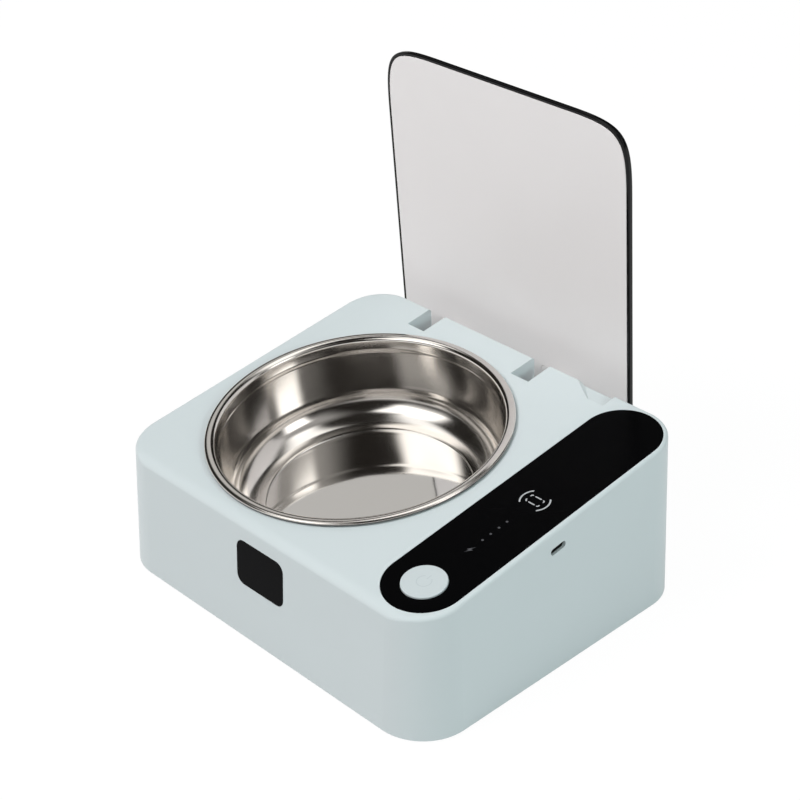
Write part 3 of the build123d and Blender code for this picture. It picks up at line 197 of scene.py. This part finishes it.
SLOT_MATERIALS = {
    "casing_plastic": casing,
    "inner_plastic": inner,
    "black_gloss": black,
    "liner_plastic": liner,
    "button_plastic": button,
    "grey_plastic": grey,
    "board_green": board,
    "component_black": component,
    "clear_plastic": clear,
    "steel_parts": steel,
    "motor_steel": can,
    "cell_sleeve": sleeve,
    "white_acetal": acetal,
    "foot_rubber": rubber,
    "polished_steel": mirror,
}
for part in frame["record"]["subparts"]:
    target = frame["nodes"][part["node"]]
    target.data.materials.clear()
    target.data.materials.append(SLOT_MATERIALS[part["material_slot"]])
# The charging socket's steel takes the dark steel of painted shade, standing in for the shade inside
# the slot
OWN_MATERIALS = {"lid_plate": shell, "sensor_window": window, "usb_socket": painted_shade_steel}
for node, material in OWN_MATERIALS.items():
    frame["nodes"][node].data.materials[0] = material


# Meshes
def finish_mesh(name, mesh, material, body, smooth=True):
    """Makes an object of a mesh, and rides it on a body in a slot."""
    data = bpy.data.meshes.new(name)
    mesh.to_mesh(data)
    mesh.free()
    thing = bpy.data.objects.new(name, data)
    bpy.context.scene.collection.objects.link(thing)
    data.materials.append(material)
    if smooth:
        data.polygons.foreach_set("use_smooth", [True] * len(data.polygons))
    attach(thing, body)
    return thing


def lathe(name, profile, origin, axis_up, material, body, steps=180):
    """Turns a profile of (radius, height) points about an axis; a radius of 0 is a pole."""
    mesh = bmesh.new()
    side = Vector((1, 0, 0))
    across = axis_up.cross(side)
    rings = []
    for radius, height in profile:
        if radius == 0:
            rings.append([mesh.verts.new(origin + axis_up * height)])
            continue
        ring = []
        for k in range(steps):
            angle = 2 * math.pi * k / steps
            out = side * math.cos(angle) + across * math.sin(angle)
            ring.append(mesh.verts.new(origin + out * radius + axis_up * height))
        rings.append(ring)
    for low, high in zip(rings, rings[1:]):
        for k in range(steps):
            n = (k + 1) % steps
            if len(low) == 1:
                mesh.faces.new((low[0], high[n], high[k]))
            elif len(high) == 1:
                mesh.faces.new((low[k], low[n], high[0]))
            else:
                mesh.faces.new((low[k], low[n], high[n], high[k]))
    bmesh.ops.recalc_face_normals(mesh, faces=mesh.faces)
    return finish_mesh(name, mesh, material, body)


def arc(cx, cy, radius, start, end, count):
    """Points of an arc; angles in degrees."""
    return [
        (
            cx + radius * math.cos(math.radians(start + (end - start) * k / count)),
            cy + radius * math.sin(math.radians(start + (end - start) * k / count)),
        )
        for k in range(count + 1)
    ]


def stroke(points, width):
    """Outline of a line of one width along points, with round ends."""
    half = width / 2
    left, right = [], []
    turns = []
    for k, (x, y) in enumerate(points):
        before = points[max(k - 1, 0)]
        after = points[min(k + 1, len(points) - 1)]
        turn = math.atan2(after[1] - before[1], after[0] - before[0])
        turns.append(math.degrees(turn))
        left.append((x - half * math.sin(turn), y + half * math.cos(turn)))
        right.append((x + half * math.sin(turn), y - half * math.cos(turn)))
    end = arc(*points[-1], half, turns[-1] + 90, turns[-1] - 90, 8)[1:-1]
    start = arc(*points[0], half, turns[0] - 90, turns[0] - 270, 8)[1:-1]
    return left + end + right[::-1] + start


def marks(name, outlines, x, v, h, material, body):
    """Printed marks: thin flat shapes let into the face at height h of the deck."""
    mesh = bmesh.new()
    for outline in outlines:
        low = [mesh.verts.new(on_deck(x + a * MM, v + b * MM, h - PRINT)) for a, b in outline]
        high = [mesh.verts.new(on_deck(x + a * MM, v + b * MM, h + PRINT)) for a, b in outline]
        mesh.faces.new(high)
        mesh.faces.new(low[::-1])
        for k in range(len(outline)):
            n = (k + 1) % len(outline)
            mesh.faces.new((low[k], low[n], high[n], high[k]))
    bmesh.ops.recalc_face_normals(mesh, faces=mesh.faces)
    return finish_mesh(name, mesh, material, body, smooth=False)


# Printed marks: half their thickness, their places up the deck, the height of the button's face
# over it, and their sizes in millimetres
PRINT = 0.03 * MM
SENSOR_MARK_V = 5.3 * MM
LEVEL_DOTS_V = -22.7 * MM
CHARGE_MARK_V = -39.6 * MM
BUTTON_TOP = 0.8 * MM
SENSOR_ARC = 7.4
SENSOR_ARC_TURN = 42
SENSOR_ARC_LINE = 0.8
SENSOR_BOX_LINE = 0.7
SENSOR_BOX_END = 2.5
DOT_PLACES = (-8.35, -2.8, 2.9, 8.4)
DOT_RADIUS = 0.65
POWER_RADIUS = 3.6
POWER_LINE = 0.45

sensor_mark = [
    stroke(
        arc(0, 0, SENSOR_ARC, turn - SENSOR_ARC_TURN, turn + SENSOR_ARC_TURN, 20),
        SENSOR_ARC_LINE,
    )
    for turn in (0, 180)
]
sensor_mark += [
    stroke(
        [(side * 4.0, end * 1.5), (side * 3.9, end * 2.2), (side * 3.3, end * SENSOR_BOX_END)],
        SENSOR_BOX_LINE,
    )
    for side in (-1, 1)
    for end in (-1, 1)
]
sensor_mark += [
    stroke([(-1.7, end * SENSOR_BOX_END), (1.7, end * SENSOR_BOX_END)], SENSOR_BOX_LINE)
    for end in (-1, 1)
]
marks("sensor_mark", sensor_mark, ICON_X, SENSOR_MARK_V, 0, print_white, "body")
level_dots = [arc(0, place, DOT_RADIUS, 0, 330, 11) for place in DOT_PLACES]
marks("level_dots", level_dots, ICON_X, LEVEL_DOTS_V, 0, print_dim, "body")
bolt = [(1.1, 2.9), (-1.4, -0.5), (-0.1, -0.5), (-1.1, -2.9), (1.4, 0.5), (0.1, 0.5)]
marks("charge_mark", [bolt], ICON_X, CHARGE_MARK_V, 0, print_dim, "body")
power_mark = [
    stroke(arc(0, 0, POWER_RADIUS, 125, 415, 40), POWER_LINE),
    stroke([(0, 1.9), (0, 4.6)], POWER_LINE),
]
marks(
    "power_mark", power_mark, PANEL_X, BUTTON_V, BUTTON_TOP, print_grey, "button"
)

# Camera
azimuth = math.radians(CAMERA_AZIMUTH)
elevation = math.radians(CAMERA_ELEVATION)
back = Vector(
    (
        math.sin(azimuth) * math.cos(elevation),
        -math.cos(azimuth) * math.cos(elevation),
        math.sin(elevation),
    )
)
level = Vector((math.cos(azimuth), math.sin(azimuth), 0))
rise = back.cross(level)
roll = math.radians(CAMERA_ROLL)
right = level * math.cos(roll) + rise * math.sin(roll)
up = rise * math.cos(roll) - level * math.sin(roll)
camera_data = bpy.data.cameras.new("camera")
camera_data.lens = CAMERA_LENS
camera_data.sensor_width = SENSOR_WIDTH
camera_data.clip_end = CLIP_END
camera = bpy.data.objects.new("camera", camera_data)
camera.matrix_world = Matrix(
    (
        (right.x, up.x, back.x, CAMERA_PLACE[0]),
        (right.y, up.y, back.y, CAMERA_PLACE[1]),
        (right.z, up.z, back.z, CAMERA_PLACE[2]),
        (0, 0, 0, 1),
    )
)
bpy.context.scene.collection.objects.link(camera)
bpy.context.scene.camera = camera

# Steel dish: radii, and heights over the deck, in millimetres
RIM_RADIUS = 80.0
BEAD = 1.0
BEAD_GAP = 0.3
BEAD_RADIUS = RIM_RADIUS - BEAD
BEAD_HEIGHT = BEAD + BEAD_GAP
RIM_TOP = BEAD_HEIGHT + BEAD
CROWN = 18
# Height over the deck below which the bead's outside is painted with shade
PAINTED_SHADE_TOP = BEAD_HEIGHT + 0.3 * BEAD
WALL_RADIUS = 74.25
WALL_FLARE = 1.0
WALL_BOW = 0.5
WALL_SHARES = (0.03, 0.2, 0.4, 0.6, 0.8, 0.96, 1)
SHOULDER = 6.0
SHOULDER_POINTS = ((0.1, 0.6), (0, 1.2), (0, 2))
NECK = 2.55
SHEET = 0.9
DEPTH = 45.4
CORNER = 17.0
FLOOR_RADIUS = 56.0
FLOOR_FLAT = FLOOR_RADIUS - 3.0
RING = 0.25
RING_RADIUS = FLOOR_RADIUS - 0.5
RING_FOOT = FLOOR_RADIUS - 1.2
DRAWN_RADIUS = FLOOR_RADIUS + 1
OUTSIDE_STEP = -5.4
OUTSIDE_FOOT = (75.0, -6.4)

# From the middle of its floor out: a fine ring, the corner, the wall, whose flare eases towards
# its shoulder, the neck, the rim's crown, arched CROWN degrees each way, and the rolled bead
inside = [(0, -DEPTH), (FLOOR_RADIUS / 2, -DEPTH), (FLOOR_FLAT, -DEPTH), (RING_FOOT, -DEPTH)]
inside += arc(RING_RADIUS, -DEPTH, RING, 180, 60, 6)
inside += arc(FLOOR_RADIUS, CORNER - DEPTH, CORNER, -88, 0, 24)
wall_foot = (FLOOR_RADIUS + CORNER, CORNER - DEPTH)
wall_height = DEPTH - CORNER - SHOULDER
for share in WALL_SHARES:
    flare = WALL_FLARE * share * (1 + WALL_BOW * (1 - share))
    inside.append((wall_foot[0] + flare, wall_foot[1] + wall_height * share))
inside += [(WALL_RADIUS - turn, rise - SHOULDER) for turn, rise in SHOULDER_POINTS]
neck = arc(WALL_RADIUS + NECK, RIM_TOP - NECK, NECK, 180, 90 + CROWN, 10)
bead = arc(BEAD_RADIUS, BEAD_HEIGHT, BEAD, 90 - CROWN, -180, 20)
crown_radius = (bead[0][0] - neck[-1][0]) / (2 * math.sin(math.radians(CROWN)))
crown_x = (bead[0][0] + neck[-1][0]) / 2
crown_y = (bead[0][1] + neck[-1][1]) / 2 - crown_radius * math.cos(math.radians(CROWN))
crown = arc(crown_x, crown_y, crown_radius, 90 + CROWN, 90 - CROWN, 8)
inside += neck + crown[1:-1] + bead
outside = arc(WALL_RADIUS + NECK, RIM_TOP - NECK, NECK - SHEET, 90, 180, 6)
outside += [(WALL_RADIUS + SHEET, OUTSIDE_STEP), OUTSIDE_FOOT]
outside += arc(FLOOR_RADIUS, CORNER - DEPTH, CORNER + SHEET, 0, -90, 16)
outside += [(FLOOR_RADIUS / 2, -DEPTH - SHEET), (0, -DEPTH - SHEET)]
dish = lathe(
    "dish",
    [(r * MM, h * MM) for r, h in inside + outside],
    on_deck(BOWL_X, BOWL_V),
    deck_up,
    mirror,
    "dish",
)

# The corner and all above it are drawn steel; the outside of the bead, up to a little above its
# middle, is painted shade: dark steel standing in for the shadow gap between the rim and the deck
dish.data.materials.append(drawn)
dish.data.materials.append(painted_shade_steel)
for face in dish.data.polygons:
    middle = face.center - on_deck(BOWL_X, BOWL_V)
    height = middle.dot(deck_up)
    reach = (middle - deck_up * height).length
    if reach > BEAD_RADIUS * MM and height < PAINTED_SHADE_TOP * MM:
        face.material_index = 2
    elif reach > DRAWN_RADIUS * MM:
        face.material_index = 1
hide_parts("steel_bowl")


# Nodes of the floor and the world
def maths(nodes, links, operation, first, second):
    """A maths node on an output and another output or a number; gives its output."""
    node = nodes.new("ShaderNodeMath")
    node.operation = operation
    links.new(first, node.inputs[0])
    if isinstance(second, float):
        node.inputs[1].default_value = second
    else:
        links.new(second, node.inputs[1])
    return node.outputs["Value"]


def blend(nodes, links, factor, first, second):
    """A mix of two shaders; gives its output."""
    node = nodes.new("ShaderNodeMixShader")
    links.new(factor, node.inputs["Fac"])
    links.new(first, node.inputs[1])
    links.new(second, node.inputs[2])
    return node.outputs["Shader"]


def background(nodes, color, strength=1.0):
    """A background of one colour; gives its node."""
    node = nodes.new("ShaderNodeBackground")
    node.inputs["Color"].default_value = (*color, 1)
    node.inputs["Strength"].default_value = strength
    return node


# Floor: pale paper, which looks white to camera, glossy and transmission rays
FLOOR_SIZE = 6
PAPER_COLOR = (0.6, 0.6, 0.6, 1)
PAPER_WHITE = 1.05
PAPER_SHARE = 0.92

floor_mesh = bmesh.new()
bmesh.ops.create_grid(floor_mesh, x_segments=1, y_segments=1, size=FLOOR_SIZE)
floor_data = bpy.data.meshes.new("floor")
floor_mesh.to_mesh(floor_data)
floor_mesh.free()
floor = bpy.data.objects.new("floor", floor_data)
bpy.context.scene.collection.objects.link(floor)
paper = bpy.data.materials.new("paper")
paper.use_nodes = True
nodes = paper.node_tree.nodes
nodes.clear()
links = paper.node_tree.links
path = nodes.new("ShaderNodeLightPath")
seen = maths(nodes, links, "MAXIMUM", path.outputs["Is Camera Ray"], path.outputs["Is Glossy Ray"])
seen = maths(nodes, links, "MAXIMUM", seen, path.outputs["Is Transmission Ray"])
diffuse = nodes.new("ShaderNodeBsdfDiffuse")
diffuse.inputs["Color"].default_value = PAPER_COLOR
glow = nodes.new("ShaderNodeEmission")
glow.inputs["Strength"].default_value = PAPER_WHITE
share = maths(nodes, links, "MULTIPLY", seen, PAPER_SHARE)
surface = blend(nodes, links, share, diffuse.outputs["BSDF"], glow.outputs["Emission"])
links.new(surface, nodes.new("ShaderNodeOutputMaterial").inputs["Surface"])
floor_data.materials.append(paper)


# World: white to the camera, a studio of soft cards to glossy rays, and a plain pale room
def studio_card(nodes, links, direction, card):
    """How much of one soft-edged card lies in a direction."""
    azimuth, elevation, half_width, half_height, soft, strength = card
    turn, lift = math.radians(azimuth), math.radians(elevation)
    side = (math.cos(turn), -math.sin(turn), 0)
    top = (-math.sin(turn) * math.sin(lift), -math.cos(turn) * math.sin(lift), math.cos(lift))
    parts = []
    for axis, half, full in ((side, half_width, strength), (top, half_height, 1.0)):
        dot = nodes.new("ShaderNodeVectorMath")
        dot.operation = "DOT_PRODUCT"
        dot.inputs[1].default_value = axis
        links.new(direction, dot.inputs[0])
        size = nodes.new("ShaderNodeMath")
        size.operation = "ABSOLUTE"
        links.new(dot.outputs["Value"], size.inputs[0])
        edge = nodes.new("ShaderNodeMapRange")
        edge.interpolation_type = "SMOOTHSTEP"
        edge.inputs["From Min"].default_value = math.sin(math.radians(half + soft))
        edge.inputs["From Max"].default_value = math.sin(math.radians(half - soft))
        edge.inputs["To Max"].default_value = full
        links.new(size.outputs["Value"], edge.inputs["Value"])
        parts.append(edge.outputs["Result"])
    return maths(nodes, links, "MULTIPLY", parts[0], parts[1])


# Each card's place and half size in degrees: azimuth from +Y towards +X, elevation,
# half width, half height, softness of its edges, and its strength
STUDIO_CARDS = (
    (-172, 45, 20, 14, 4, 1.7),
    (-172, 28, 18, 7, 6, 0.55),
    (-125, 64, 20, 7, 4, 1.3),
    (78, 31, 9, 12, 3, 2.0),
    (70, 50, 30, 16, 12, 0.35),
    (5, 77, 26, 8, 4, 1.4),
    (-57, 42, 13, 9, 3, 0.56),
)

# Elevations between which the glow round the horizon fades, and the colours of studio and room
HORIZON_TOP = 16
HORIZON_LOW = 6
STUDIO_TINT = (1.0, 0.985, 0.96)
STUDIO_SHADE = (0.018, 0.016, 0.014)
ROOM_COLOR = (0.83, 0.85, 0.86)
ROOM_STRENGTH = 0.38

world = bpy.data.worlds.new("world")
bpy.context.scene.world = world
world.use_nodes = True
nodes = world.node_tree.nodes
nodes.clear()
links = world.node_tree.links
direction = nodes.new("ShaderNodeTexCoord").outputs["Generated"]
split = nodes.new("ShaderNodeSeparateXYZ")
links.new(direction, split.inputs["Vector"])
horizon = nodes.new("ShaderNodeMapRange")
horizon.interpolation_type = "SMOOTHSTEP"
horizon.inputs["From Min"].default_value = math.sin(math.radians(HORIZON_TOP))
horizon.inputs["From Max"].default_value = math.sin(math.radians(HORIZON_LOW))
links.new(split.outputs["Z"], horizon.inputs["Value"])
light = horizon.outputs["Result"]
for card in STUDIO_CARDS:
    light = maths(nodes, links, "ADD", light, studio_card(nodes, links, direction, card))
studio_color = nodes.new("ShaderNodeVectorMath")
studio_color.operation = "MULTIPLY_ADD"
studio_color.inputs[1].default_value = STUDIO_TINT
studio_color.inputs[2].default_value = STUDIO_SHADE
links.new(light, studio_color.inputs[0])
studio = nodes.new("ShaderNodeBackground")
links.new(studio_color.outputs["Vector"], studio.inputs["Color"])
white = background(nodes, (1, 1, 1))
room = background(nodes, ROOM_COLOR, ROOM_STRENGTH)
path = nodes.new("ShaderNodeLightPath")
mirrored = maths(
    nodes, links, "MAXIMUM", path.outputs["Is Glossy Ray"], path.outputs["Is Transmission Ray"]
)
around = blend(nodes, links, mirrored, room.outputs["Background"], studio.outputs["Background"])
shown = blend(nodes, links, path.outputs["Is Camera Ray"], around, white.outputs["Background"])
links.new(shown, nodes.new("ShaderNodeOutputWorld").inputs["Surface"])

# Lamps: name, place, what it points at, width and height in metres, watts and colour
LAMPS = (
    ("key", (-0.9, -2.1, 2.6), (0, 0, 0.10), (1.8, 1.4), 72.0, (1, 1, 1)),
    ("side", (1.5, 0.1, 0.8), (0, 0, 0.05), (0.5, 0.6), 9.6, (0.85, 1.0, 1.0)),
    ("top", (-0.3, -0.45, 1.7), (0, 0.05, 0.05), (0.9, 0.5), 3.2, (1, 1, 1)),
)

for name, place, aim, size, power, color in LAMPS:
    data = bpy.data.lights.new(name, "AREA")
    data.shape = "RECTANGLE"
    data.size, data.size_y = size
    data.energy = power
    data.color = color
    lamp = bpy.data.objects.new(name, data)
    bpy.context.scene.collection.objects.link(lamp)
    lamp.location = place
    lamp.visible_glossy = False
    lamp.rotation_euler = (Vector(aim) - Vector(place)).to_track_quat("-Z", "Y").to_euler()

# Plain view transform, with no tone curve
bpy.context.scene.view_settings.view_transform = "Standard"
